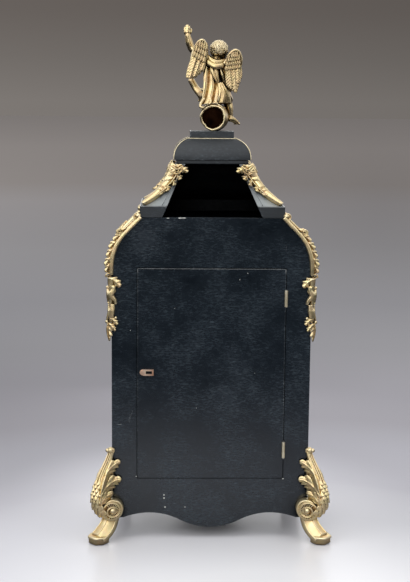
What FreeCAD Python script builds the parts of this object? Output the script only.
import FreeCAD, Part
import math
import os

# Bracket clock on four feet. Origin on the floor under the middle of the case,
# +Z up, the glazed front faces -Y and the plain back faces +Y. Lengths in millimetres.

# Case
BODY_WIDTH = 276.0
FOOT_HEIGHT = 31.0
SIDE_HEIGHT = 358.0
SHOULDER_HEIGHT = 67.5
SHOULDER_RADIUS = 68.0
SHOULDER_TURN = 45.0
QUARTER_TURN = 90.0
BOARD = 10.0
APRON_FLAT = 16.0
APRON_CREST_X = 85.0
APRON_CREST = 7.0
APRON_DIP = 14.0
FLOOR_LIFT = 17.0
OVERRUN = 5.0

# Depth of the case, added up from the glazed front to the back
HAND_ROOM = 13.0
DIAL_T = 2.0
DIAL_BOARD_T = 8.0
MOTION_ROOM = 11.0
PLATE_T = 2.5
PLATE_GAP = 32.0
REAR_ROOM = 49.0

# Roof, crown and finial plinth
STEP_OVERHANG = 0.6
STEP_SETBACK = 1.0
STEP_T = 15.8
STEP_RAIL = 24.0
ROOF_INSET = 3.0
ROOF_HEIGHT = 56.0
ROOF_TOP_WIDTH = 100.0
ROOF_TOP_DEPTH = 80.0
ROOF_SAG = 8.0
ROOF_WALL = 8.0
SOUND_LOW_WIDTH = 137.4
SOUND_TOP_WIDTH = 74.6
MOULDING_T = 5.6
CROWN_WIDTH = 106.0
CROWN_DEPTH = 84.0
CROWN_T = 28.8
CROWN_INSET = 19.0
CROWN_SAG = 6.0
PLINTH_WIDTH = 61.0
PLINTH_DEPTH = 42.0
PLINTH_T = 10.3

# Doors, hinges and catches
REAR_DOOR_WIDTH = 204.8
REAR_DOOR_HEIGHT = 297.7
REAR_DOOR_LIFT = 57.8
FRONT_DOOR_WIDTH = 194.0
FRONT_DOOR_DROP = 199.0
DOOR_GAP = 1.0
STILE = 14.0
REBATE = 4.0
GLASS_T = 2.5
GLASS_FIT = 0.2
HINGE_LENGTH = 23.0
HINGE_FROM_END = 41.0
KNUCKLE_RADIUS = 2.2
KNUCKLE_PROUD = 1.4
KNUCKLE_GAP = 0.2
KNUCKLES = 5
LEAF_T = 1.0
LEAF_DEPTH = 8.0
PIN_RADIUS = 1.2
PIN_HEAD = 1.0
RUN_FIT = 0.05
CATCH_INSET = 7.5
CATCH_LIFT = 152.0
SPINDLE_RADIUS = 2.0
ROSE_RADIUS = 4.2
ROSE_T = 1.0
BOW_LENGTH = 13.0
BOW_WIDTH = 8.6
BOW_BAR = 2.2
BOW_T = 1.8
TONGUE_LENGTH = 16.0
TONGUE_WIDTH = 7.0
TONGUE_T = 2.0
TONGUE_GAP = 0.4

# Gilt mounts
SHOULDER_MOUNT_T = 6.0
SHOULDER_MOUNT_REACH = 20.0
SHOULDER_MOUNT_LAP = 9.0
SHOULDER_MOUNT_PROUD = 4.0
SHOULDER_MOUNT_DROP = 104.0
ROOF_MOUNT_T = 4.0
ROOF_MOUNT_WIDTH = 17.0
FOOT_TOP = 130.0
FOOT_TOP_REACH = 5.0
FOOT_BULGE_Z = 66.0
FOOT_BULGE = 30.0
FOOT_BOW = 4.5
FOOT_NECK_Z = 30.0
FOOT_NECK = 19.0
FOOT_TOE = 37.0
FOOT_TOE_T = 13.0
FOOT_LAP = 17.0
FOOT_HEEL = 6.0
FOOT_WIDTH = 28.0
FOOT_TOP_WIDTH = 9.0
SPRAY_REACH = 13.0
SPRAY_LOW = 68.0
SPRAY_PROUD = 4.0
SPRAY_SHARES = ((0.0, 1.0), (0.9, 0.76), (0.45, 0.6), (1.0, 0.34), (0.4, 0.1), (0.0, 0.0))
VOLUTE_RADIUS = 14.5
VOLUTE_Z = 48.0
VOLUTE_INSET = 1.5
VOLUTE_PROUD = 9.0
FRONT_FOOT_INSET = 9.0
FRONT_VOLUTE_REACH = 12.0
FRONT_VOLUTE_PROUD = 2.0

# Finial
SEAT_RADIUS = 19.0
SEAT_HOLE = 14.5
SEAT_LENGTH = 44.0
SEAT_END_T = 5.0
SEAT_BELLY = 2.0
SEAT_SINK = 0.6
HEAD_RADIUS = 12.4
NECK_RADIUS = 6.0
CHEST_RADIUS = 13.5
HIP_RADIUS = 15.5
SHOULDER_JOINT = 6.8
ELBOW_RADIUS = 5.0
WRIST_RADIUS = 3.6
THIGH_RADIUS = 9.0
KNEE_RADIUS = 6.4
ANKLE_RADIUS = 4.4
TOE_RADIUS = 3.2
DRAPE_TOP_RADIUS = 7.0
DRAPE_LOW_RADIUS = 9.0
WING_T = 5.0
# Joints and wing outlines of the figure, measured from the middle of the barrel
HEAD_AT = (-10.4, 2.0, 95.6)
CHEST_AT = (-2.0, 1.0, 69.6)
HIP_AT = (-2.0, 0.0, 33.6)
RAISED_SHOULDER_AT = (10.0, 0.0, 78.6)
RAISED_ELBOW_AT = (28.0, -6.0, 89.6)
RAISED_WRIST_AT = (34.0, -3.0, 111.6)
RAISED_HAND_AT = (33.0, -2.0, 123.2)
LOW_SHOULDER_AT = (-14.0, 0.0, 72.6)
LOW_ELBOW_AT = (-23.0, -2.0, 45.6)
LOW_WRIST_AT = (-20.0, -16.0, 32.6)
NEAR_HIP_AT = (-10.0, -6.0, 28.6)
NEAR_KNEE_AT = (-25.5, -20.0, 24.6)
NEAR_ANKLE_AT = (-28.0, -17.0, 1.6)
NEAR_TOE_AT = (-37.5, -23.0, -6.4)
FAR_HIP_AT = (9.0, -8.0, 30.6)
FAR_KNEE_AT = (27.0, -22.0, 42.6)
FAR_ANKLE_AT = (23.0, -26.0, 12.6)
FAR_TOE_AT = (26.0, -34.0, 6.6)
DRAPE_TOP_AT = (3.0, 9.0, 64.6)
DRAPE_LOW_AT = (7.0, 12.0, 24.6)
LEFT_WING_OUTLINE = (
    (5.0, 76.6), (13.0, 105.6), (24.0, 98.6), (32.0, 76.6), (35.0, 53.6), (20.0, 60.6),
)
RIGHT_WING_OUTLINE = (
    (-13.0, 72.6), (-26.0, 92.6), (-36.0, 92.6), (-42.0, 73.6), (-32.0, 36.6), (-20.0, 54.6),
)
WING_PLANE_Y = 14.0

# Dial and hands
DIAL_LIFT = 261.0
DIAL_RADIUS = 84.0
DIAL_BOARD_DROP = 94.0
DIAL_BOARD_RISE = 92.0
PLAQUE_RADIUS = 8.2
PLAQUE_T = 1.2
PLAQUE_CIRCLE_RADIUS = 67.0
HOURS = 12
CANNON_HOLE = 5.0
KEY_HOLE = 5.0
HOUR_HAND = 48.0
MINUTE_HAND = 72.0
HAND_WIDTH = 9.0
HAND_TAIL = 14.0
HAND_T = 1.2
HAND_BOSS = 6.5
HAND_LIFT = 3.0
HAND_STEP = 2.8
HOUR_HAND_TURN = -56.0
MINUTE_HAND_TURN = 48.0
NUT_RADIUS = 4.0
NUT_T = 1.8
FEET_CIRCLE_RADIUS = 50.0
FEET_ANGLES = (55.0, 125.0, 235.0, 305.0)
FOOT_POST = 3.0

# Movement plates and arbors
PLATE_RADIUS = 58.0
PILLAR_RADIUS = 3.6
PILLARS_AT = ((18.0, -46.0), (-18.0, -46.0), (34.0, 37.0), (-34.0, 37.0))
ARBOR = 1.0
PIVOT = 0.7
END_SHAKE = 0.3
CENTRE_ARBOR = 1.5
WINDING_ARBOR = 3.0
WHEEL_T = 2.0
PINION_T = 3.0
WHEEL_TOOTH_SHARES = ((-1.35, 0.93), (0.0, 0.9), (0.62, 0.66), (1.05, 0.3))
LEAF_TOOTH_SHARES = ((-1.5, 0.7), (0.0, 0.76), (0.45, 0.6), (0.75, 0.25))

# Going train
BARREL_X = 26.0
BARREL_DROP = 14.0
BARREL_TEETH = 84
BARREL_MODULE = 0.5
DRUM_RADIUS = 19.0
DRUM_WALL = 1.5
DRUM_LENGTH = 16.0
BARREL_U = 2.5
SPRING_T = 0.8
SPRING_TURNS = 5
SPRING_STEPS = 24
SPRING_INNER = 6.5
SPRING_GAP = 0.5
LINK_LEAVES = 12
LINK_TEETH = 72
LINK_MODULE = 0.5
LINK_U = 23.0
CENTRE_LEAVES = 10
CENTRE_TEETH = 108
CENTRE_MODULE = 0.34
CENTRE_U = 27.5
THIRD_ANGLE = 115.0
THIRD_LEAVES = 10
THIRD_TEETH = 100
THIRD_MODULE = 0.3
THIRD_U = 16.0
THIRD_ARBOR = 0.85
ESCAPE_LEAVES = 10
ESCAPE_TEETH = 40
ESCAPE_RADIUS = 11.0
ESCAPE_DEPTH = 2.2
ESCAPE_LEAN_SHARE = 0.35
ESCAPE_U = 22.0
PALLET_TEETH = 10.5
PALLET_CLEAR = 1.3
PALLET_T = 3.0
PALLET_WIDTH = 3.2

# Motion work
MOTION_MODULE = 0.5
CANNON_LEAVES = 12
MINUTE_TEETH = 36
MINUTE_LEAVES = 10
HOUR_TEETH = 40
MINUTE_ANGLE = 20.0
CANNON_V = 1.6
HOUR_V = 5.6
CANNON_PIPE = 2.2
CANNON_SEAT = 1.9
HOUR_PIPE = 3.6
STUD = 1.1

# Strike work
PIN_ANGLE = 114.0
PIN_LEAVES = 12
PIN_TEETH = 64
PIN_MODULE = 0.4
PIN_COUNT = 8
LIFT_PIN = 0.7
LIFT_PIN_LENGTH = 2.5
FLY_ANGLE = 80.0
FLY_LEAVES = 10
FLY_U = 5.0
FLY_LENGTH = 12.0
FLY_REACH = 7.5
FLY_T = 0.8
BELL_X = -16.0
BELL_DROP = 6.0
BELL_RADIUS = 36.0
BELL_WALL = 1.8
BELL_DEPTH = 20.0
BELL_DOME = 9.0
BELL_CLEAR = 17.0
STAND_RADIUS = 2.5
STAND_FLANGE = 6.0
STAND_NUT = 5.0
STAND_NUT_T = 3.0
HAMMER_X = -49.0
HAMMER_RISE = 22.0
HAMMER_ANGLE = 165.0
HAMMER_HEAD_RADIUS = 4.0
HAMMER_CLEAR = 0.8
HAMMER_ARM = 2.6
HAMMER_HEAD_LENGTH = 7.0
HAMMER_SET = 1.5

# Pendulum
COCK_GAP = 4.0
COCK_T = 2.5
COCK_WIDTH = 40.0
COCK_HEIGHT = 13.0
COCK_POST = 3.0
COCK_POST_X = 15.5
CHEEK_T = 2.0
CHEEK_GAP = 4.0
CHEEK_WIDTH = 9.0
EYE_RADIUS = 3.2
EYE_T = 2.6
CRUTCH_T = 2.0
CRUTCH_WIDTH = 4.0
CRUTCH_LENGTH = 50.0
FORK_GAP = 0.3
FORK_BAR = 2.0
PENDULUM_LENGTH = 172.5
PENDULUM_ROD = 1.5
PENDULUM_TAIL = 42.0
BOB_RADIUS = 27.0
BOB_EDGE = 3.0
BOB_T = 13.0
BOB_FIT = 0.05
RATING_RADIUS = 6.0
RATING_T = 5.0


# Levels and planes worked out from the sizes
body_depth = 2 * BOARD + HAND_ROOM + DIAL_T + DIAL_BOARD_T + MOTION_ROOM + 2 * PLATE_T + PLATE_GAP + REAR_ROOM
half_width = BODY_WIDTH / 2
half_depth = body_depth / 2
shoulder_z = FOOT_HEIGHT + SIDE_HEIGHT
case_top = shoulder_z + SHOULDER_HEIGHT
turn = math.radians(SHOULDER_TURN)
step_top = case_top + STEP_T
roof_top = step_top + ROOF_HEIGHT
moulding_top = roof_top + MOULDING_T
crown_top = moulding_top + CROWN_T
plinth_top = crown_top + PLINTH_T
dial_z = FOOT_HEIGHT + DIAL_LIFT
dial_face = -half_depth + BOARD + HAND_ROOM
dial_back = dial_face + DIAL_T
board_back = dial_back + DIAL_BOARD_T
plate_front = board_back + MOTION_ROOM
plate_inner = plate_front + PLATE_T
back_plate_inner = plate_inner + PLATE_GAP
back_plate_rear = back_plate_inner + PLATE_T
rear_inside = half_depth - BOARD
pendulum_y = back_plate_rear + COCK_GAP + COCK_T + CHEEK_T + CHEEK_GAP / 2


# Small helpers
def vec(x, y, z):
    return FreeCAD.Vector(x, y, z)


def xz(x, z):
    return vec(x, 0, z)


def box(x0, x1, y0, y1, z0, z1):
    return Part.makeBox(x1 - x0, y1 - y0, z1 - z0, vec(x0, y0, z0))


def rod(radius, start, end):
    axis = end - start
    return Part.makeCylinder(radius, axis.Length, start, axis)


def rod_y(radius, at, y0, y1):
    return rod(radius, vec(at[0], y0, at[1]), vec(at[0], y1, at[1]))


def ring_y(outer, inner, at, y0, y1):
    hole = rod_y(inner, at, y0 - OVERRUN, y1 + OVERRUN)
    return rod_y(outer, at, y0, y1).cut(hole)


def line(p, q):
    return Part.makeLine(p, q)


def bow(p, middle, q):
    return Part.Arc(p, middle, q).toShape()


def bowed(p, q, sag, normal):
    side = (q - p).cross(normal)
    side.normalize()
    return bow(p, (p + q) * 0.5 + side * sag, q)


def face(edges):
    return Part.Face(Part.Wire(Part.sortEdges(edges)[0]))


def polygon(points):
    return Part.Face(Part.makePolygon(list(points) + [points[0]]))


def along_y(flat, y0, y1):
    moved = flat.copy()
    moved.translate(vec(0, y0, 0))
    return moved.extrude(vec(0, y1 - y0, 0))


def along_x(flat, x0, x1):
    moved = flat.copy()
    moved.translate(vec(x0, 0, 0))
    return moved.extrude(vec(x1 - x0, 0, 0))


def mirror_x(shape):
    return shape.mirror(vec(0, 0, 0), vec(1, 0, 0))


def mirror_y(shape):
    return shape.mirror(vec(0, 0, 0), vec(0, 1, 0))


def four_corners(shape):
    pair = [shape, mirror_x(shape)]
    return pair + [mirror_y(one) for one in pair]


def fuse(shapes):
    return shapes[0].multiFuse(shapes[1:]).removeSplitter()


def group(shapes):
    return Part.makeCompound(shapes)


# Outline of the case
def flank(inset, low, high):
    """Edges of the right flank from low up to high, moved inwards by inset."""
    radius = SHOULDER_RADIUS - inset
    centre = xz(half_width - SHOULDER_RADIUS, shoulder_z)
    start = xz(half_width - inset, low)
    bend = centre + xz(radius, 0)
    middle = centre + xz(radius * math.cos(turn / 2), radius * math.sin(turn / 2))
    leave = centre + xz(radius * math.cos(turn), radius * math.sin(turn))
    end = xz(leave.x - (high - leave.z) * math.tan(turn), high)
    return [line(start, bend), bow(bend, middle, leave), line(leave, end)], start, end


def level_arc(level, end):
    """Arc that leaves the point level horizontally and reaches end."""
    across = end.x - level.x
    rise = end.z - level.z
    radius = (across * across + rise * rise) / (2 * abs(rise))
    half = math.atan2(abs(rise), abs(across))
    middle = level + xz(
        math.copysign(radius * math.sin(half), across),
        math.copysign(radius * (1 - math.cos(half)), rise),
    )
    return bow(level, middle, end)


def apron():
    """Lower edge of the right half, from the flank to the dip in the middle."""
    outer = xz(half_width, FOOT_HEIGHT)
    flat_end = xz(half_width - APRON_FLAT, FOOT_HEIGHT)
    crest = xz(APRON_CREST_X, FOOT_HEIGHT + APRON_CREST)
    dip = xz(0, FOOT_HEIGHT - APRON_DIP)
    between = (crest + dip) * 0.5
    scallop = [level_arc(crest, flat_end), level_arc(crest, between), level_arc(dip, between)]
    return [line(outer, flat_end)] + scallop


def case_face():
    edges, start, end = flank(0, FOOT_HEIGHT, case_top)
    half = edges + apron()
    top = line(end, xz(-end.x, case_top))
    return face(half + [mirror_x(edge) for edge in half] + [top])


def flank_band(inner, outer, low, high):
    """Band along the right flank between two insets."""
    inside, inside_low, inside_top = flank(inner, low, high)
    outside, outside_low, outside_top = flank(outer, low, high)
    return face(inside + outside + [line(inside_low, outside_low), line(inside_top, outside_top)])


# Hinges and catches
def hinge(door_half, facing, low):
    """Case leaf, door leaf, pin and the room they take; facing is 1 at the back and -1 at the front."""
    axis_x = -door_half - DOOR_GAP / 2
    axis_y = half_depth + KNUCKLE_PROUD
    plate_end = axis_y - KNUCKLE_RADIUS - KNUCKLE_GAP
    plate_start = half_depth - LEAF_DEPTH
    high = low + HINGE_LENGTH
    pitch = HINGE_LENGTH / KNUCKLES
    leaf_x = {True: axis_x - DOOR_GAP / 2 - LEAF_T, False: axis_x + DOOR_GAP / 2}
    leaves = {}
    plates = {}
    for on_case in (True, False):
        x0 = leaf_x[on_case]
        plates[on_case] = box(x0, x0 + LEAF_T, plate_start, plate_end, low, high)
        solids = [plates[on_case]]
        for k in range(KNUCKLES):
            if (k % 2 == 0) == on_case:
                z0 = low + k * pitch + KNUCKLE_GAP / 2
                z1 = low + (k + 1) * pitch - KNUCKLE_GAP / 2
                solids.append(rod(KNUCKLE_RADIUS, vec(axis_x, axis_y, z0), vec(axis_x, axis_y, z1)))
                solids.append(box(x0, x0 + LEAF_T, plate_end, axis_y, z0, z1))
        below = vec(axis_x, axis_y, low - OVERRUN)
        above = vec(axis_x, axis_y, high + OVERRUN)
        bore = rod(PIN_RADIUS + RUN_FIT, below, above)
        leaves[on_case] = fuse(solids).cut(bore)
    pin = rod(PIN_RADIUS, vec(axis_x, axis_y, low - PIN_HEAD), vec(axis_x, axis_y, high + PIN_HEAD))
    notch = rod(
        KNUCKLE_RADIUS + KNUCKLE_GAP,
        vec(axis_x, axis_y, low - PIN_HEAD - KNUCKLE_GAP),
        vec(axis_x, axis_y, high + PIN_HEAD + KNUCKLE_GAP),
    )
    tabs = box(leaf_x[True], leaf_x[False] + LEAF_T, plate_end, axis_y, low, high)
    shapes = [leaves[True], leaves[False], pin, notch.fuse(tabs), plates[True], plates[False]]
    if facing < 0:
        shapes = [mirror_y(shape) for shape in shapes]
    return shapes


def catch(door_half, facing, z):
    """Rose plate, turn piece and the hole through the door; the tongue hangs clear of the edge."""
    x = door_half - CATCH_INSET
    bow_y = half_depth + ROSE_T
    at = (x, z)
    rose = ring_y(ROSE_RADIUS, SPINDLE_RADIUS + RUN_FIT, at, half_depth, half_depth + ROSE_T)
    tongue_y = rear_inside - TONGUE_GAP
    spindle = rod_y(SPINDLE_RADIUS, at, tongue_y - TONGUE_T, bow_y + RUN_FIT)
    hub = rod_y(SPINDLE_RADIUS + BOW_BAR / 2, at, bow_y + RUN_FIT, bow_y + BOW_T)
    loop = box(
        x - BOW_LENGTH - SPINDLE_RADIUS, x, bow_y + RUN_FIT, bow_y + BOW_T,
        z - BOW_WIDTH / 2, z + BOW_WIDTH / 2,
    )
    eye = box(
        x - BOW_LENGTH - SPINDLE_RADIUS + BOW_BAR,
        x - SPINDLE_RADIUS - BOW_BAR,
        half_depth,
        bow_y + BOW_T + OVERRUN,
        z - BOW_WIDTH / 2 + BOW_BAR,
        z + BOW_WIDTH / 2 - BOW_BAR,
    )
    tongue = box(
        x - TONGUE_WIDTH / 2, x + TONGUE_WIDTH / 2, tongue_y - TONGUE_T, tongue_y,
        z - TONGUE_LENGTH, z + TONGUE_WIDTH / 2,
    )
    piece = fuse([spindle, hub, loop.cut(eye), tongue])
    hole = rod_y(SPINDLE_RADIUS + RUN_FIT, at, rear_inside - OVERRUN, half_depth + OVERRUN)
    shapes = [rose, piece, hole]
    if facing < 0:
        shapes = [mirror_y(shape) for shape in shapes]
    return shapes


# Case boards and doors
def arch(half, low, y0, y1):
    """Door shape with a half-round top about the dial."""
    left = xz(-half, dial_z)
    right = xz(half, dial_z)
    edges = [
        line(xz(-half, low), xz(half, low)),
        line(xz(half, low), right),
        bow(right, xz(0, dial_z + half), left),
        line(left, xz(-half, low)),
    ]
    return along_y(face(edges), y0, y1)


def case_and_doors(parts):
    outline = case_face()
    back = along_y(outline, rear_inside, half_depth)
    front = along_y(outline, -half_depth, -rear_inside)

    door_half = REAR_DOOR_WIDTH / 2
    door_low = FOOT_HEIGHT + REAR_DOOR_LIFT
    door_high = door_low + REAR_DOOR_HEIGHT
    hole_half = door_half + DOOR_GAP
    back = back.cut(
        box(
            -hole_half, hole_half, rear_inside - OVERRUN, half_depth + OVERRUN,
            door_low - DOOR_GAP, door_high + DOOR_GAP,
        )
    )
    door = box(-door_half, door_half, rear_inside, half_depth, door_low, door_high)

    front_half = FRONT_DOOR_WIDTH / 2
    front_low = dial_z - FRONT_DOOR_DROP
    front = front.cut(
        arch(front_half + DOOR_GAP, front_low - DOOR_GAP, -half_depth - OVERRUN, -rear_inside + OVERRUN)
    )
    frame = arch(front_half, front_low, -half_depth, -rear_inside)
    sight_half = front_half - STILE
    frame = frame.cut(arch(sight_half, front_low + STILE, -half_depth - OVERRUN, -rear_inside + OVERRUN))
    glass_y = -half_depth + BOARD / 2
    frame = frame.cut(arch(sight_half + REBATE, front_low + STILE - REBATE, glass_y, -rear_inside + OVERRUN))
    pane_half = sight_half + REBATE - GLASS_FIT
    pane_low = front_low + STILE - REBATE + GLASS_FIT
    parts["front_glass"] = arch(pane_half, pane_low, glass_y, glass_y + GLASS_T)

    case_leaves = []
    pins = []
    rear_leaves = []
    front_leaves = []
    for low in (door_low + HINGE_FROM_END - HINGE_LENGTH / 2, door_high - HINGE_FROM_END - HINGE_LENGTH / 2):
        case_leaf, door_leaf, pin, room, case_plate, door_plate = hinge(door_half, 1, low)
        back = back.cut(room).cut(case_plate)
        door = door.cut(room).cut(door_plate)
        case_leaves.append(case_leaf)
        rear_leaves.append(door_leaf)
        pins.append(pin)
    for low in (front_low + HINGE_FROM_END - HINGE_LENGTH / 2, dial_z - HINGE_FROM_END - HINGE_LENGTH / 2):
        case_leaf, door_leaf, pin, room, case_plate, door_plate = hinge(front_half, -1, low)
        front = front.cut(room).cut(case_plate)
        frame = frame.cut(room).cut(door_plate)
        case_leaves.append(case_leaf)
        front_leaves.append(door_leaf)
        pins.append(pin)

    rear_rose, rear_turn, rear_hole = catch(door_half, 1, door_low + CATCH_LIFT)
    front_rose, front_turn, front_hole = catch(front_half, -1, front_low + CATCH_LIFT)
    parts["back_panel"] = back
    parts["front_panel"] = front
    parts["rear_door"] = door.cut(rear_hole)
    parts["front_door"] = frame.cut(front_hole)
    parts["hinge_case_leaves"] = group(case_leaves)
    parts["hinge_pins"] = group(pins)
    parts["rear_hinge_leaves"] = group(rear_leaves)
    parts["front_hinge_leaves"] = group(front_leaves)
    parts["rear_catch_rose"] = rear_rose
    parts["rear_catch"] = rear_turn
    parts["front_catch_rose"] = front_rose
    parts["front_catch"] = front_turn

    side = along_y(flank_band(BOARD, 0, FOOT_HEIGHT, case_top), -rear_inside, rear_inside)
    parts["side_panels"] = group([side, mirror_x(side)])
    inner = half_width - BOARD
    floor_z = FOOT_HEIGHT + FLOOR_LIFT
    parts["case_floor"] = box(-inner, inner, -rear_inside, rear_inside, floor_z, floor_z + BOARD)


# Roof, crown and plinth
def roof_profile(low_half, top_half, low, high, sag, plane_normal, grow):
    """Symmetric profile with bowed flanks, moved outwards by grow."""
    def at(a, z):
        return vec(a, 0, z) if plane_normal.y else vec(0, a, z)
    right_low = at(low_half + grow, low)
    right_top = at(top_half + grow, high)
    left_low = at(-low_half - grow, low)
    left_top = at(-top_half - grow, high)
    flip = sag if plane_normal.y else -sag
    edges = [
        line(left_low, right_low),
        bowed(right_low, right_top, flip, plane_normal),
        line(right_top, left_top),
        bowed(left_top, left_low, flip, plane_normal),
    ]
    return face(edges)


def hipped(low_width, low_depth, top_width, top_depth, low, high, sag, grow):
    """Four-sided block whose flanks follow the same bow on the front and on the sides."""
    reach = low_width + low_depth
    wide = roof_profile(low_width / 2, top_width / 2, low, high, sag, vec(0, 1, 0), grow)
    deep = roof_profile(low_depth / 2, top_depth / 2, low, high, sag, vec(1, 0, 0), grow)
    return along_y(wide, -reach, reach).common(along_x(deep, -reach, reach))


def roof_parts(parts):
    top_half = flank(0, FOOT_HEIGHT, case_top)[2].x
    step_width = 2 * (top_half + STEP_OVERHANG)
    step_depth = body_depth - 2 * STEP_SETBACK
    step_x = step_width / 2
    step_y = step_depth / 2
    sound = along_y(
        polygon([
            xz(-SOUND_LOW_WIDTH / 2, case_top),
            xz(SOUND_LOW_WIDTH / 2, case_top),
            xz(SOUND_TOP_WIDTH / 2, roof_top),
            xz(-SOUND_TOP_WIDTH / 2, roof_top),
        ]),
        0,
        body_depth,
    )
    step = box(-step_x, step_x, -step_y, step_y, case_top, step_top)
    well = box(
        -step_x + STEP_RAIL, step_x - STEP_RAIL, -step_y + STEP_RAIL, step_y - STEP_RAIL,
        case_top - OVERRUN, step_top + OVERRUN,
    )
    parts["roof_base"] = step.cut(well).cut(sound)

    low_width = step_width - 2 * ROOF_INSET
    low_depth = step_depth - 2 * ROOF_INSET
    roof = (low_width, low_depth, ROOF_TOP_WIDTH, ROOF_TOP_DEPTH, step_top, roof_top, ROOF_SAG)
    outer = hipped(*roof, 0)
    parts["roof_shell"] = outer.cut(hipped(*roof, -ROOF_WALL)).cut(sound)

    band_corner = vec(low_width / 2, low_depth / 2, 0)
    band_top = vec(ROOF_TOP_WIDTH / 2, ROOF_TOP_DEPTH / 2, 0)
    run = band_corner - band_top
    run.normalize()
    side = vec(-run.y, run.x, 0) * (ROOF_MOUNT_WIDTH / 2)
    far = band_corner + run * ROOF_MOUNT_WIDTH
    near = band_top - run * ROOF_MOUNT_T
    corners = [far + side, far - side, near - side, near + side]
    band = polygon([corner + vec(0, 0, step_top) for corner in corners])
    band = band.extrude(vec(0, 0, ROOF_HEIGHT))
    mount = hipped(*roof, ROOF_MOUNT_T).cut(outer).common(band)
    parts["roof_mounts"] = group([one.Solids[0] for one in four_corners(mount)])

    parts["crown_moulding"] = box(
        -ROOF_TOP_WIDTH / 2, ROOF_TOP_WIDTH / 2, -ROOF_TOP_DEPTH / 2, ROOF_TOP_DEPTH / 2,
        roof_top, moulding_top,
    )
    crown_top_width = CROWN_WIDTH - 2 * CROWN_INSET
    crown_top_depth = CROWN_DEPTH - 2 * CROWN_INSET
    parts["crown_cap"] = hipped(
        CROWN_WIDTH, CROWN_DEPTH, crown_top_width, crown_top_depth, moulding_top, crown_top, -CROWN_SAG, 0
    )
    parts["finial_plinth"] = box(
        -PLINTH_WIDTH / 2, PLINTH_WIDTH / 2, -PLINTH_DEPTH / 2, PLINTH_DEPTH / 2, crown_top, plinth_top
    )


# Gilt mounts
def shoulder_mounts(parts):
    low = shoulder_z - SHOULDER_MOUNT_DROP
    side = along_y(
        flank_band(0, -SHOULDER_MOUNT_T, low, case_top), half_depth - SHOULDER_MOUNT_REACH, half_depth
    )
    lap = box(
        half_width - SHOULDER_MOUNT_LAP, half_width + SHOULDER_MOUNT_T,
        half_depth - SHOULDER_MOUNT_PROUD, half_depth + SHOULDER_MOUNT_PROUD, low, shoulder_z,
    )
    lap = lap.cut(box(0, half_width, 0, half_depth, 0, case_top))
    parts["shoulder_mounts"] = group(four_corners(fuse([side, lap])))


def foot_blade():
    """Foot seen from its side, reaching along X from the case edge, thinned towards its top."""
    def side_on(reach, z):
        return vec(reach, 0, z)
    top_in = side_on(-FOOT_LAP, FOOT_TOP)
    top_out = side_on(FOOT_TOP_REACH, FOOT_TOP)
    bulge = side_on(FOOT_BULGE, FOOT_BULGE_Z)
    neck = side_on(FOOT_NECK, FOOT_NECK_Z)
    toe_top = side_on(FOOT_TOE, FOOT_TOE_T)
    toe_low = side_on(FOOT_TOE, 0)
    heel = side_on(FOOT_HEEL, 0)
    under = side_on(-FOOT_LAP, FOOT_NECK_Z)
    normal = vec(0, 1, 0)
    profile = face([
        line(top_in, top_out),
        bowed(top_out, bulge, FOOT_BOW, normal),
        bowed(bulge, neck, FOOT_BOW, normal),
        bowed(neck, toe_top, -FOOT_BOW, normal),
        line(toe_top, toe_low),
        line(toe_low, heel),
        line(heel, under),
        line(under, top_in),
    ])
    blade = along_y(profile, -FOOT_WIDTH / 2, FOOT_WIDTH / 2)
    taper = along_x(
        polygon([
            vec(0, -FOOT_WIDTH / 2, 0),
            vec(0, FOOT_WIDTH / 2, 0),
            vec(0, FOOT_WIDTH / 2, FOOT_BULGE_Z),
            vec(0, FOOT_TOP_WIDTH, FOOT_TOP),
            vec(0, -FOOT_TOP_WIDTH, FOOT_TOP),
            vec(0, -FOOT_WIDTH / 2, FOOT_BULGE_Z),
        ]),
        -FOOT_LAP - OVERRUN,
        FOOT_TOE + OVERRUN,
    )
    return blade.common(taper)


def rear_foot():
    """Foot that splays along the diagonal, with a volute and a leaf spray on both faces of the case."""
    blade = foot_blade()
    blade.rotate(vec(0, 0, 0), vec(0, 0, 1), SHOULDER_TURN)
    blade.translate(vec(half_width, half_depth, 0))
    disc_at = (half_width - VOLUTE_INSET, VOLUTE_Z)
    rear_disc = rod_y(VOLUTE_RADIUS, disc_at, half_depth, half_depth + VOLUTE_PROUD)
    side_disc = rod(
        VOLUTE_RADIUS,
        vec(half_width, half_depth - VOLUTE_INSET, VOLUTE_Z),
        vec(half_width + VOLUTE_PROUD, half_depth - VOLUTE_INSET, VOLUTE_Z),
    )
    rise = FOOT_TOP - SPRAY_LOW
    leaf = [(half_width - SPRAY_REACH * inward, SPRAY_LOW + rise * up) for inward, up in SPRAY_SHARES]
    rear_spray = along_y(polygon([xz(x, z) for x, z in leaf]), half_depth, half_depth + SPRAY_PROUD)
    shift = half_depth - half_width
    side_spray = along_x(
        polygon([vec(0, x + shift, z) for x, z in leaf]), half_width, half_width + SPRAY_PROUD
    )
    return [blade, rear_disc, side_disc, rear_spray, side_spray]


def front_foot():
    """Foot that faces straight forward, set in so that the rear feet hide it from behind."""
    blade = foot_blade()
    blade.rotate(vec(0, 0, 0), vec(0, 0, 1), QUARTER_TURN)
    blade.translate(vec(half_width - FRONT_FOOT_INSET, half_depth, 0))
    reach = FOOT_WIDTH / 2 + FRONT_VOLUTE_PROUD
    volute_y = half_depth + FRONT_VOLUTE_REACH
    volute = rod(
        VOLUTE_RADIUS,
        vec(half_width - FRONT_FOOT_INSET - reach, volute_y, VOLUTE_Z),
        vec(half_width - FRONT_FOOT_INSET + reach, volute_y, VOLUTE_Z),
    )
    return [blade, volute]


def feet(parts):
    """Four corner feet, cut round the case."""
    case_block = box(-half_width, half_width, -half_depth, half_depth, FOOT_HEIGHT, case_top)
    rear = fuse([piece.cut(case_block) for piece in rear_foot()])
    front = fuse([piece.cut(case_block) for piece in front_foot()])
    parts["feet_rear"] = group(four_corners(rear)[:2])
    parts["feet_front"] = group(four_corners(front)[2:])


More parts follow.
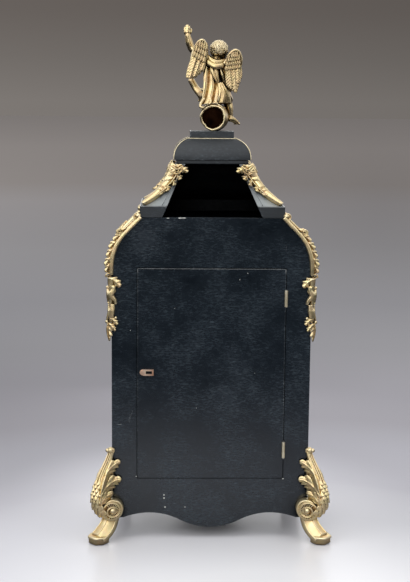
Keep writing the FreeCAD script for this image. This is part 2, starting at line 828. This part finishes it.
# Finial
def limb(start, start_radius, end, end_radius):
    """Rounded limb between two joints, turned about its own axis."""
    axis = end - start
    length = axis.Length
    start_slant = start_radius * math.sqrt(0.5)
    end_slant = end_radius * math.sqrt(0.5)
    tip = xz(0, length + end_radius)
    edges = [
        bow(xz(0, -start_radius), xz(start_slant, -start_slant), xz(start_radius, 0)),
        line(xz(start_radius, 0), xz(end_radius, length)),
        bow(xz(end_radius, length), xz(end_slant, length + end_slant), tip),
        line(tip, xz(0, -start_radius)),
    ]
    solid = face(edges).revolve(vec(0, 0, 0), vec(0, 0, 1), 360)
    solid.Placement = FreeCAD.Placement(start, FreeCAD.Rotation(vec(0, 0, 1), axis))
    return solid


def finial(parts):
    seat_z = plinth_top + SEAT_RADIUS - SEAT_SINK
    y0 = -SEAT_LENGTH / 2
    y1 = SEAT_LENGTH / 2
    end = SEAT_RADIUS - SEAT_BELLY
    side = [
        line(vec(0, y0, 0), vec(end, y0, 0)),
        bow(vec(end, y0, 0), vec(SEAT_RADIUS, 0, 0), vec(end, y1, 0)),
        line(vec(end, y1, 0), vec(0, y1, 0)),
        line(vec(0, y1, 0), vec(0, y0, 0)),
    ]
    drum = face(side).revolve(vec(0, 0, 0), vec(0, 1, 0), 360)
    drum.translate(vec(0, 0, seat_z))
    drum = drum.cut(rod_y(SEAT_HOLE, (0, seat_z), y0 + SEAT_END_T, y1 + OVERRUN))
    below = box(-SEAT_RADIUS, SEAT_RADIUS, y0 - OVERRUN, y1 + OVERRUN, seat_z - SEAT_RADIUS, plinth_top)
    parts["barrel_seat"] = drum.cut(below)

    limbs = (
        (CHEST_AT, CHEST_RADIUS, HIP_AT, HIP_RADIUS),
        (CHEST_AT, NECK_RADIUS, HEAD_AT, NECK_RADIUS),
        (RAISED_SHOULDER_AT, SHOULDER_JOINT, RAISED_ELBOW_AT, ELBOW_RADIUS),
        (RAISED_ELBOW_AT, ELBOW_RADIUS, RAISED_WRIST_AT, WRIST_RADIUS),
        (RAISED_WRIST_AT, WRIST_RADIUS, RAISED_HAND_AT, ELBOW_RADIUS),
        (LOW_SHOULDER_AT, SHOULDER_JOINT, LOW_ELBOW_AT, ELBOW_RADIUS),
        (LOW_ELBOW_AT, ELBOW_RADIUS, LOW_WRIST_AT, WRIST_RADIUS),
        (NEAR_HIP_AT, THIGH_RADIUS, NEAR_KNEE_AT, KNEE_RADIUS),
        (NEAR_KNEE_AT, KNEE_RADIUS, NEAR_ANKLE_AT, ANKLE_RADIUS),
        (NEAR_ANKLE_AT, ANKLE_RADIUS, NEAR_TOE_AT, TOE_RADIUS),
        (FAR_HIP_AT, THIGH_RADIUS, FAR_KNEE_AT, KNEE_RADIUS),
        (FAR_KNEE_AT, KNEE_RADIUS, FAR_ANKLE_AT, ANKLE_RADIUS),
        (FAR_ANKLE_AT, ANKLE_RADIUS, FAR_TOE_AT, TOE_RADIUS),
        (DRAPE_TOP_AT, DRAPE_TOP_RADIUS, DRAPE_LOW_AT, DRAPE_LOW_RADIUS),
    )
    middle = vec(0, 0, seat_z)
    body = [Part.makeSphere(HEAD_RADIUS, vec(*HEAD_AT) + middle)]
    for start, start_radius, stop, stop_radius in limbs:
        body.append(limb(vec(*start) + middle, start_radius, vec(*stop) + middle, stop_radius))
    figure = body[0].multiFuse(body[1:])
    seat_room = rod_y(SEAT_RADIUS, (0, seat_z), -body_depth, body_depth)
    figure = figure.cut(seat_room)
    parts["putto_figure"] = max(figure.Solids, key=lambda solid: solid.Volume)

    wings = []
    for outline in (LEFT_WING_OUTLINE, RIGHT_WING_OUTLINE):
        flat = polygon([xz(x, seat_z + z) for x, z in outline])
        blade = along_y(flat, WING_PLANE_Y - WING_T, WING_PLANE_Y + WING_T).cut(parts["putto_figure"])
        wings.append(max(blade.Solids, key=lambda solid: solid.Volume))
    parts["putto_wings"] = group(wings)


# Gears
def polar(at, distance, angle):
    return (at[0] + distance * math.cos(angle), at[1] + distance * math.sin(angle))


def bearing(start, end):
    return math.atan2(end[1] - start[1], end[0] - start[0])


def gear(teeth, module, shares, at, phase, y0, y1):
    """Spur gear with flat-faced teeth; phase is the bearing of one tooth."""
    radius = teeth * module / 2
    quarter = math.pi / teeth / 2
    points = []
    for tooth in range(teeth):
        middle = phase + tooth * 4 * quarter
        flankline = [(radius + lift * module, wide * quarter) for lift, wide in shares]
        for reach, half in flankline:
            points.append((reach, middle - half))
        for reach, half in reversed(flankline):
            points.append((reach, middle + half))
    flat = polygon([xz(at[0] + reach * math.cos(a), at[1] + reach * math.sin(a)) for reach, a in points])
    return along_y(flat, y0, y1)


def mate(phase, teeth, other_teeth, direction):
    """Bearing of a tooth on the mating gear that lies in the given direction."""
    pitches = (direction - phase) * teeth / (2 * math.pi)
    return direction + math.pi - (0.5 - pitches) * 2 * math.pi / other_teeth


def meet(one, one_reach, two, two_reach):
    """Point at the given distances from two points, on the lower left of the line between them."""
    span = math.dist(one, two)
    along = (one_reach ** 2 - two_reach ** 2 + span ** 2) / (2 * span)
    off = math.sqrt(one_reach ** 2 - along ** 2)
    ux = (two[0] - one[0]) / span
    uz = (two[1] - one[1]) / span
    return (one[0] + along * ux + off * uz, one[1] + along * uz - off * ux)


def reach_of(teeth, leaves, module):
    return (teeth + leaves) * module / 2


centre_at = (0, dial_z)
going_at = (BARREL_X, dial_z - BARREL_DROP)
strike_at = (-BARREL_X, dial_z - BARREL_DROP)
link_at = meet(
    centre_at, reach_of(LINK_TEETH, CENTRE_LEAVES, LINK_MODULE),
    going_at, reach_of(BARREL_TEETH, LINK_LEAVES, BARREL_MODULE),
)
third_at = polar(centre_at, reach_of(CENTRE_TEETH, THIRD_LEAVES, CENTRE_MODULE), math.radians(THIRD_ANGLE))
escape_reach = reach_of(THIRD_TEETH, ESCAPE_LEAVES, THIRD_MODULE)
escape_at = (0, third_at[1] + math.sqrt(escape_reach ** 2 - third_at[0] ** 2))
pallet_angle = math.pi * PALLET_TEETH / ESCAPE_TEETH
anchor_at = (0, escape_at[1] + ESCAPE_RADIUS / math.cos(pallet_angle))
motion_reach = reach_of(MINUTE_TEETH, CANNON_LEAVES, MOTION_MODULE)
minute_at = polar(centre_at, motion_reach, math.radians(MINUTE_ANGLE))
hour_module = 2 * motion_reach / (HOUR_TEETH + MINUTE_LEAVES)
pin_at = polar(strike_at, reach_of(BARREL_TEETH, PIN_LEAVES, BARREL_MODULE), math.radians(PIN_ANGLE))
fly_at = polar(pin_at, reach_of(PIN_TEETH, FLY_LEAVES, PIN_MODULE), math.radians(FLY_ANGLE))
bell_at = (BELL_X, dial_z - BELL_DROP)
hammer_at = (HAMMER_X, dial_z + HAMMER_RISE)


def arbor(at, radius):
    """Arbor between the plates with a thin pivot at each end."""
    body = rod_y(radius, at, plate_inner + END_SHAKE, back_plate_inner - END_SHAKE)
    return [body, rod_y(PIVOT, at, plate_front, back_plate_rear)]


def wheel(teeth, module, at, phase, u):
    return gear(teeth, module, WHEEL_TOOTH_SHARES, at, phase, plate_inner + u, plate_inner + u + WHEEL_T)


def pinion(leaves, module, at, phase, u):
    low = plate_inner + u + (WHEEL_T - PINION_T) / 2
    return gear(leaves, module, LEAF_TOOTH_SHARES, at, phase, low, low + PINION_T)


def mainspring(at):
    """Coiled strip lying against the inside of the drum."""
    outer = DRUM_RADIUS - DRUM_WALL
    steps = SPRING_TURNS * SPRING_STEPS
    outside = []
    inside = []
    for step in range(steps + 1):
        share = step / steps
        angle = share * SPRING_TURNS * 2 * math.pi
        flat = math.cos(math.pi / SPRING_STEPS)
        reach = (outer - SPRING_GAP) + (SPRING_INNER - outer + SPRING_GAP) * share
        outside.append(xz(at[0] + reach * math.cos(angle), at[1] + reach * math.sin(angle)))
        reach = reach * flat - SPRING_T
        inside.append(xz(at[0] + reach * math.cos(angle), at[1] + reach * math.sin(angle)))
    low = plate_inner + BARREL_U + WHEEL_T + SPRING_GAP
    return along_y(polygon(outside + inside[::-1]), low, low + DRUM_LENGTH - DRUM_WALL - 2 * SPRING_GAP)


def barrel(at):
    """Toothed drum, hollow, turning on the winding arbor."""
    low = plate_inner + BARREL_U
    drum_low = low + WHEEL_T
    drum_high = drum_low + DRUM_LENGTH
    drum = rod_y(DRUM_RADIUS, at, drum_low, drum_high)
    hollow = rod_y(DRUM_RADIUS - DRUM_WALL, at, drum_low, drum_high - DRUM_WALL)
    body = fuse([wheel(BARREL_TEETH, BARREL_MODULE, at, 0, BARREL_U), drum.cut(hollow)])
    return body.cut(rod_y(WINDING_ARBOR + RUN_FIT, at, low - OVERRUN, drum_high + OVERRUN))


def winding_arbor(at):
    key = dial_face - HAND_LIFT
    shaft = rod_y(WINDING_ARBOR, at, board_back, back_plate_inner - END_SHAKE)
    pivot = rod_y(PIVOT, at, board_back, back_plate_rear)
    side = WINDING_ARBOR * math.sqrt(0.5)
    square = box(at[0] - side, at[0] + side, key, board_back, at[1] - side, at[1] + side)
    return fuse([shaft, pivot, square])


def going_train(parts):
    parts["going_barrel"] = barrel(going_at)
    parts["going_mainspring"] = mainspring(going_at)
    parts["going_arbor"] = winding_arbor(going_at)

    phase = mate(0, BARREL_TEETH, LINK_LEAVES, bearing(going_at, link_at))
    parts["link_wheel"] = fuse(arbor(link_at, ARBOR) + [
        pinion(LINK_LEAVES, BARREL_MODULE, link_at, phase, BARREL_U),
        wheel(LINK_TEETH, LINK_MODULE, link_at, 0, LINK_U),
    ])

    phase = mate(0, LINK_TEETH, CENTRE_LEAVES, bearing(link_at, centre_at))
    nose = hand_plane(2) - HAND_T
    parts["centre_wheel"] = fuse([
        rod_y(CENTRE_ARBOR, centre_at, nose - NUT_T, back_plate_inner - END_SHAKE),
        rod_y(PIVOT, centre_at, plate_inner, back_plate_rear),
        pinion(CENTRE_LEAVES, LINK_MODULE, centre_at, phase, LINK_U),
        wheel(CENTRE_TEETH, CENTRE_MODULE, centre_at, 0, CENTRE_U),
    ])

    phase = mate(0, CENTRE_TEETH, THIRD_LEAVES, bearing(centre_at, third_at))
    parts["third_wheel"] = fuse(arbor(third_at, THIRD_ARBOR) + [
        pinion(THIRD_LEAVES, CENTRE_MODULE, third_at, phase, CENTRE_U),
        wheel(THIRD_TEETH, THIRD_MODULE, third_at, 0, THIRD_U),
    ])

    phase = mate(0, THIRD_TEETH, ESCAPE_LEAVES, bearing(third_at, escape_at))
    points = []
    pitch = 2 * math.pi / ESCAPE_TEETH
    for tooth in range(ESCAPE_TEETH):
        for reach, share in ((ESCAPE_RADIUS - ESCAPE_DEPTH, 0), (ESCAPE_RADIUS, ESCAPE_LEAN_SHARE)):
            angle = (tooth + share) * pitch
            points.append(xz(escape_at[0] + reach * math.cos(angle), escape_at[1] + reach * math.sin(angle)))
    low = plate_inner + ESCAPE_U
    parts["escape_wheel"] = fuse(arbor(escape_at, PIVOT + RUN_FIT) + [
        pinion(ESCAPE_LEAVES, THIRD_MODULE, escape_at, phase, THIRD_U),
        along_y(polygon(points), low, low + WHEEL_T),
    ])


def pallets(parts):
    """Anchor over the escape wheel with its arbor and the crutch behind the back plate."""
    low = plate_inner + ESCAPE_U + (WHEEL_T - PALLET_T) / 2
    spread = math.pi / 2 - pallet_angle
    tip = ESCAPE_RADIUS + PALLET_CLEAR
    left = polar(escape_at, tip, math.pi - spread)
    right = polar(escape_at, tip, spread)
    left_out = polar(escape_at, tip + PALLET_WIDTH, math.pi - spread)
    right_out = polar(escape_at, tip + PALLET_WIDTH, spread)
    crown = anchor_at[1] + PALLET_WIDTH
    under = max(anchor_at[1] - PALLET_WIDTH / 2, escape_at[1] + tip)
    points = [left, left_out, (0, crown), right_out, right, (0, under)]
    anchor = along_y(polygon([xz(x, z) for x, z in points]), low, low + PALLET_T)
    crutch_y = back_plate_rear + (COCK_GAP - CRUTCH_T) / 2
    fork_z = anchor_at[1] - CRUTCH_LENGTH
    gap = PENDULUM_ROD + FORK_GAP
    lever = box(
        -CRUTCH_WIDTH / 2, CRUTCH_WIDTH / 2, crutch_y, crutch_y + CRUTCH_T,
        fork_z, anchor_at[1] + CRUTCH_WIDTH / 2,
    )
    yoke = box(-gap - FORK_BAR, gap + FORK_BAR, crutch_y, pendulum_y - gap, fork_z - FORK_BAR, fork_z)
    prongs = [
        box(x, x + FORK_BAR, pendulum_y - gap, pendulum_y + gap, fork_z - FORK_BAR, fork_z)
        for x in (-gap - FORK_BAR, gap)
    ]
    shaft = rod_y(ARBOR, anchor_at, plate_inner + END_SHAKE, back_plate_rear + COCK_GAP - END_SHAKE)
    pivot = rod_y(PIVOT, anchor_at, plate_front, back_plate_rear + COCK_GAP + COCK_T)
    parts["pallet_anchor"] = fuse([shaft, pivot, anchor, lever, yoke] + prongs)


# Dial, hands and motion work
def hand_plane(order):
    """Front-most plane of the back of a hand; order 1 is the hour hand, 2 the minute hand."""
    return dial_face - HAND_LIFT - (order - 1) * HAND_STEP


def hand(length, plane, bore, turn_angle):
    half = HAND_WIDTH / 2
    right = [(0, -HAND_TAIL), (half, -HAND_TAIL / 2), (half, length / 2), (0, length)]
    points = right + [(-x, z) for x, z in right[2:0:-1]]
    blade = along_y(polygon([xz(x, dial_z + z) for x, z in points]), plane - HAND_T, plane)
    boss = rod_y(HAND_BOSS, centre_at, plane - HAND_T, plane)
    solid = fuse([blade, boss]).cut(rod_y(bore, centre_at, plane - OVERRUN, plane + OVERRUN))
    solid.rotate(vec(0, 0, dial_z), vec(0, 1, 0), turn_angle)
    return solid


def dial_parts(parts):
    inner = half_width - BOARD
    board = box(-inner, inner, dial_back, board_back, dial_z - DIAL_BOARD_DROP, dial_z + DIAL_BOARD_RISE)
    plate = rod_y(DIAL_RADIUS, centre_at, dial_face, dial_back)
    for at, radius in ((centre_at, CANNON_HOLE), (going_at, KEY_HOLE), (strike_at, KEY_HOLE)):
        hole = rod_y(radius, at, dial_face - OVERRUN, board_back + OVERRUN)
        board = board.cut(hole)
        plate = plate.cut(hole)
    parts["dial_board"] = board
    parts["dial_plate"] = plate
    plaques = []
    for hour in range(HOURS):
        at = polar(centre_at, PLAQUE_CIRCLE_RADIUS, hour * 2 * math.pi / HOURS)
        plaques.append(rod_y(PLAQUE_RADIUS, at, dial_face - PLAQUE_T, dial_face))
    parts["numeral_plaques"] = group(plaques)
    spots = [polar(centre_at, FEET_CIRCLE_RADIUS, math.radians(angle)) for angle in FEET_ANGLES]
    parts["dial_feet"] = group([rod_y(FOOT_POST, spot, board_back, plate_front) for spot in spots])

    parts["hour_hand"] = hand(HOUR_HAND, hand_plane(1), HOUR_PIPE + RUN_FIT, HOUR_HAND_TURN)
    parts["minute_hand"] = hand(MINUTE_HAND, hand_plane(2), CANNON_SEAT + RUN_FIT, MINUTE_HAND_TURN)
    nut_y = hand_plane(2) - HAND_T
    parts["hand_nut"] = ring_y(NUT_RADIUS, CENTRE_ARBOR + RUN_FIT, centre_at, nut_y - NUT_T, nut_y)


def motion_gear(teeth, module, shares, at, phase, v, thickness):
    return gear(teeth, module, shares, at, phase, plate_front - v - thickness, plate_front - v)


def motion_work(parts):
    lift = (PINION_T - WHEEL_T) / 2
    direction = bearing(centre_at, minute_at)
    cannon = fuse([
        motion_gear(CANNON_LEAVES, MOTION_MODULE, LEAF_TOOTH_SHARES, centre_at, 0, CANNON_V, PINION_T),
        rod_y(CANNON_PIPE, centre_at, hand_plane(2), plate_front - END_SHAKE),
        rod_y(CANNON_SEAT, centre_at, hand_plane(2) - HAND_T, plate_front - CANNON_V),
    ])
    bore = rod_y(CENTRE_ARBOR + RUN_FIT, centre_at, -half_depth, plate_front + OVERRUN)
    parts["cannon_pinion"] = cannon.cut(bore)
    phase = mate(0, CANNON_LEAVES, MINUTE_TEETH, direction)
    low = CANNON_V + lift
    length = HOUR_V + PINION_T - lift - low
    minute = fuse([
        motion_gear(MINUTE_TEETH, MOTION_MODULE, WHEEL_TOOTH_SHARES, minute_at, phase, low, WHEEL_T),
        motion_gear(MINUTE_LEAVES, hour_module, LEAF_TOOTH_SHARES, minute_at, 0, low, length),
    ])
    parts["minute_wheel"] = minute.cut(rod_y(STUD + RUN_FIT, minute_at, board_back, plate_front + OVERRUN))
    phase = mate(0, MINUTE_LEAVES, HOUR_TEETH, direction + math.pi)
    hour = fuse([
        motion_gear(HOUR_TEETH, hour_module, WHEEL_TOOTH_SHARES, centre_at, phase, HOUR_V, WHEEL_T),
        rod_y(HOUR_PIPE, centre_at, hand_plane(1) - HAND_T, plate_front - HOUR_V),
    ])
    bore = rod_y(CANNON_PIPE + RUN_FIT, centre_at, -half_depth, plate_front + OVERRUN)
    parts["hour_wheel"] = hour.cut(bore)


# Plates, cock, bell and strike work
def plates(parts):
    front = rod_y(PLATE_RADIUS, centre_at, plate_front, plate_inner)
    back = rod_y(PLATE_RADIUS, centre_at, back_plate_inner, back_plate_rear)
    pivots = (link_at, third_at, escape_at, pin_at, fly_at, hammer_at)
    for at in pivots + (anchor_at, centre_at):
        hole = rod_y(PIVOT + RUN_FIT, at, plate_front - OVERRUN, back_plate_rear + OVERRUN)
        front = front.cut(hole)
        back = back.cut(hole)
    for at in (going_at, strike_at):
        front = front.cut(rod_y(WINDING_ARBOR + RUN_FIT, at, plate_front - OVERRUN, plate_inner + OVERRUN))
        back = back.cut(rod_y(PIVOT + RUN_FIT, at, back_plate_inner - OVERRUN, back_plate_rear + OVERRUN))
    front = front.cut(rod_y(CENTRE_ARBOR + RUN_FIT, centre_at, plate_front - OVERRUN, plate_inner + OVERRUN))
    for at in (anchor_at, hammer_at):
        back = back.cut(rod_y(ARBOR + RUN_FIT, at, back_plate_inner - OVERRUN, back_plate_rear + OVERRUN))
    stud = rod_y(STUD, minute_at, plate_front - HOUR_V - PINION_T, plate_front)
    parts["movement_front_plate"] = fuse([front, stud])
    parts["movement_back_plate"] = back
    posts = [rod_y(PILLAR_RADIUS, (x, dial_z + z), plate_inner, back_plate_inner) for x, z in PILLARS_AT]
    parts["plate_pillars"] = group(posts)


def back_cock(parts):
    cock_y = back_plate_rear + COCK_GAP
    bridge = box(
        -COCK_WIDTH / 2, COCK_WIDTH / 2, cock_y, cock_y + COCK_T,
        anchor_at[1] - COCK_HEIGHT / 2, anchor_at[1] + COCK_HEIGHT / 2,
    )
    spots = [(-COCK_POST_X, anchor_at[1]), (COCK_POST_X, anchor_at[1])]
    posts = [rod_y(COCK_POST, spot, back_plate_rear, cock_y) for spot in spots]
    cheeks = box(
        -CHEEK_WIDTH / 2, CHEEK_WIDTH / 2, cock_y + COCK_T, cock_y + COCK_T + 2 * CHEEK_T + CHEEK_GAP,
        anchor_at[1] - COCK_HEIGHT / 2, anchor_at[1] + COCK_HEIGHT / 2,
    )
    slot = box(
        -CHEEK_WIDTH, CHEEK_WIDTH, pendulum_y - CHEEK_GAP / 2, pendulum_y + CHEEK_GAP / 2,
        anchor_at[1] - COCK_HEIGHT, anchor_at[1] + EYE_RADIUS + RUN_FIT + END_SHAKE,
    )
    cock = fuse([bridge, cheeks.cut(slot)] + posts)
    bore = rod_y(PIN_RADIUS + RUN_FIT, anchor_at, cock_y + COCK_T, half_depth)
    pivot = rod_y(PIVOT + RUN_FIT, anchor_at, back_plate_rear, half_depth)
    parts["back_cock"] = cock.cut(bore).cut(pivot)


def pendulum(parts):
    bob_z = anchor_at[1] - PENDULUM_LENGTH
    tail_z = bob_z - PENDULUM_TAIL
    eye = rod_y(EYE_RADIUS, anchor_at, pendulum_y - EYE_T / 2, pendulum_y + EYE_T / 2)
    outside = CHEEK_GAP / 2 + CHEEK_T
    pin = rod_y(PIN_RADIUS, anchor_at, pendulum_y - outside + END_SHAKE, pendulum_y + outside)
    shaft = rod(PENDULUM_ROD, vec(0, pendulum_y, tail_z), vec(0, pendulum_y, anchor_at[1]))
    shaft = shaft.cut(rod_y(EYE_RADIUS, anchor_at, pendulum_y + EYE_T / 2, pendulum_y + OVERRUN))
    shaft = shaft.cut(rod_y(EYE_RADIUS, anchor_at, pendulum_y - OVERRUN, pendulum_y - EYE_T / 2))
    parts["pendulum_rod"] = fuse([eye, pin, shaft])

    front = vec(0, -BOB_T / 2, 0)
    rear = vec(0, BOB_T / 2, 0)
    edge_front = vec(BOB_RADIUS, -BOB_EDGE / 2, 0)
    edge_rear = vec(BOB_RADIUS, BOB_EDGE / 2, 0)
    drop = (BOB_T - BOB_EDGE) / 2
    lens = (BOB_RADIUS ** 2 + drop ** 2) / (2 * drop)
    half = math.atan2(drop, BOB_RADIUS)
    belly = vec(lens * math.sin(half), 0, 0)
    dip = vec(0, lens * (1 - math.cos(half)), 0)
    lentil = face([
        bow(front, front + belly + dip, edge_front),
        line(edge_front, edge_rear),
        bow(edge_rear, rear + belly - dip, rear),
        line(rear, front),
    ]).revolve(vec(0, 0, 0), vec(0, 1, 0), 360)
    lentil.translate(vec(0, pendulum_y, bob_z))
    bore = rod(PENDULUM_ROD + BOB_FIT, vec(0, pendulum_y, tail_z), vec(0, pendulum_y, anchor_at[1]))
    parts["pendulum_bob"] = lentil.cut(bore)
    nut_top = bob_z - BOB_RADIUS - END_SHAKE
    nut = rod(RATING_RADIUS, vec(0, pendulum_y, nut_top - RATING_T), vec(0, pendulum_y, nut_top))
    parts["rating_nut"] = nut.cut(bore)


def strike_work(parts):
    parts["strike_barrel"] = barrel(strike_at)
    parts["strike_mainspring"] = mainspring(strike_at)
    parts["strike_arbor"] = winding_arbor(strike_at)

    phase = mate(0, BARREL_TEETH, PIN_LEAVES, bearing(strike_at, pin_at))
    pins = []
    for k in range(PIN_COUNT):
        spot = polar(pin_at, PIN_TEETH * PIN_MODULE / 2 - PINION_T, k * 2 * math.pi / PIN_COUNT)
        low = plate_inner + LINK_U - LIFT_PIN_LENGTH
        pins.append(rod_y(LIFT_PIN, spot, low, plate_inner + LINK_U + WHEEL_T / 2))
    parts["pin_wheel"] = fuse(arbor(pin_at, ARBOR) + [
        pinion(PIN_LEAVES, BARREL_MODULE, pin_at, phase, BARREL_U),
        wheel(PIN_TEETH, PIN_MODULE, pin_at, 0, LINK_U),
    ] + pins)

    phase = mate(0, PIN_TEETH, FLY_LEAVES, bearing(pin_at, fly_at))
    vane = box(
        fly_at[0] - FLY_REACH, fly_at[0] + FLY_REACH, plate_inner + FLY_U, plate_inner + FLY_U + FLY_LENGTH,
        fly_at[1] - FLY_T / 2, fly_at[1] + FLY_T / 2,
    )
    parts["fly"] = fuse(arbor(fly_at, ARBOR) + [pinion(FLY_LEAVES, PIN_MODULE, fly_at, phase, LINK_U), vane])

    mouth = back_plate_rear + BELL_CLEAR
    crown = mouth + BELL_DEPTH

    def cup(radius, inset):
        rim = vec(radius, mouth, 0)
        knee = vec(radius, crown - BELL_DOME, 0)
        top = vec(0, crown - inset, 0)
        drop = BELL_DOME - inset
        lens = (radius ** 2 + drop ** 2) / (2 * drop)
        half = math.atan2(drop, radius)
        middle = vec(lens * math.sin(half), top.y - lens * (1 - math.cos(half)), 0)
        edges = [
            line(vec(0, mouth, 0), rim),
            line(rim, knee),
            bow(knee, middle, top),
            line(top, vec(0, mouth, 0)),
        ]
        solid = face(edges).revolve(vec(0, 0, 0), vec(0, 1, 0), 360)
        solid.translate(vec(bell_at[0], 0, bell_at[1]))
        return solid

    bell = cup(BELL_RADIUS, 0).cut(cup(BELL_RADIUS - BELL_WALL, BELL_WALL))
    parts["bell"] = bell.cut(rod_y(STAND_RADIUS + RUN_FIT, bell_at, mouth, crown + OVERRUN))
    seat = crown - 2 * BELL_WALL
    stand = fuse([
        rod_y(STAND_FLANGE, bell_at, back_plate_rear, back_plate_rear + STAND_NUT_T),
        rod_y(STAND_RADIUS, bell_at, back_plate_rear, crown + STAND_NUT_T),
        rod_y(STAND_NUT, bell_at, seat - STAND_NUT_T, seat),
    ])
    nut = ring_y(STAND_NUT, STAND_RADIUS, bell_at, crown, crown + STAND_NUT_T)
    parts["bell_stand"] = group([stand, nut])

    head_at = polar(bell_at, BELL_RADIUS + HAMMER_CLEAR + HAMMER_HEAD_RADIUS, math.radians(HAMMER_ANGLE))
    head_y = mouth + HAMMER_SET
    head = rod_y(HAMMER_HEAD_RADIUS, head_at, head_y, head_y + HAMMER_HEAD_LENGTH)
    run = vec(head_at[0] - hammer_at[0], 0, head_at[1] - hammer_at[1])
    side = vec(run.z, 0, -run.x)
    side.normalize()
    side = side * (HAMMER_ARM / 2)
    foot = xz(*hammer_at)
    arm = polygon([foot + side, foot + run + side, foot + run - side, foot - side])
    arm = along_y(arm, head_y, head_y + HAMMER_ARM)
    shaft = rod_y(ARBOR, hammer_at, plate_inner + END_SHAKE, head_y + HAMMER_ARM)
    boss = rod_y(HAMMER_ARM, hammer_at, head_y, head_y + HAMMER_ARM)
    pivot = rod_y(PIVOT, hammer_at, plate_front, plate_inner + HAMMER_ARM)
    parts["hammer"] = fuse([shaft, pivot, boss, arm, head])


def build():
    parts = {}
    case_and_doors(parts)
    roof_parts(parts)
    shoulder_mounts(parts)
    feet(parts)
    finial(parts)
    dial_parts(parts)
    motion_work(parts)
    plates(parts)
    going_train(parts)
    pallets(parts)
    back_cock(parts)
    pendulum(parts)
    strike_work(parts)
    return parts


os.makedirs("parts", exist_ok=True)
for name, shape in build().items():
    shape.exportStep("parts/" + name + ".step")
    print(name, len(shape.Solids), round(shape.Volume, 1), shape.isValid())
